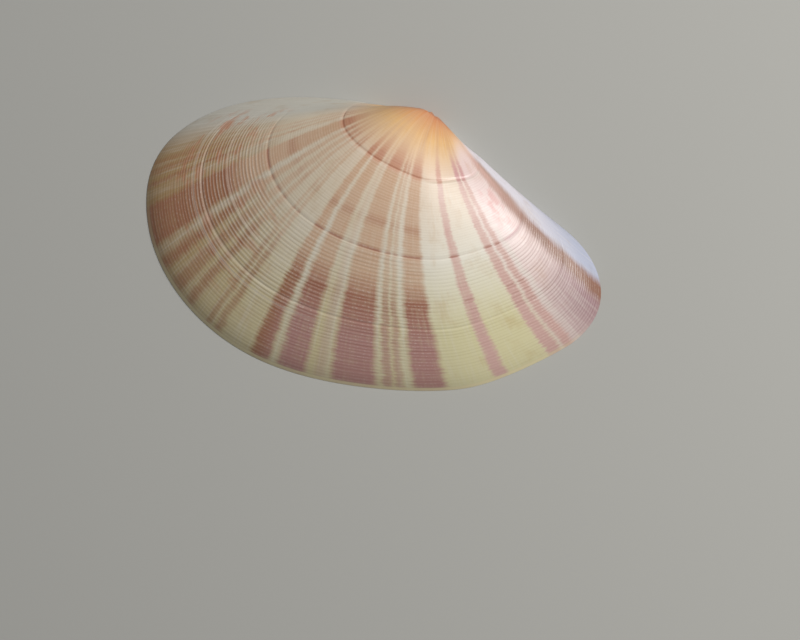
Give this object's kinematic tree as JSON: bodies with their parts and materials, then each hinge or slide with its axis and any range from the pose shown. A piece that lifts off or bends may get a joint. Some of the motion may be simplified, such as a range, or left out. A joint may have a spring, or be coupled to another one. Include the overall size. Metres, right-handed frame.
{
  "type": "clam shell valve",
  "caption": "Single left valve of a striped tellin-type clam: low ridged dome with an off-centre beak, a blunt hind end and an open hollow beneath.",
  "frame": {"origin": "middle of the box round the valve, in the plane of the rim that it rests on", "axes": "+X towards the blunt hind end, +Y towards the hinge and beak, +Z out of the top of the dome"},
  "size_m": [0.06, 0.0369, 0.0081],
  "materials": {
    "shell": "satin, fine growth ridges"
  },
  "bodies": {
    "root": {"valve": "shell"}
  },
  "joints": []
}
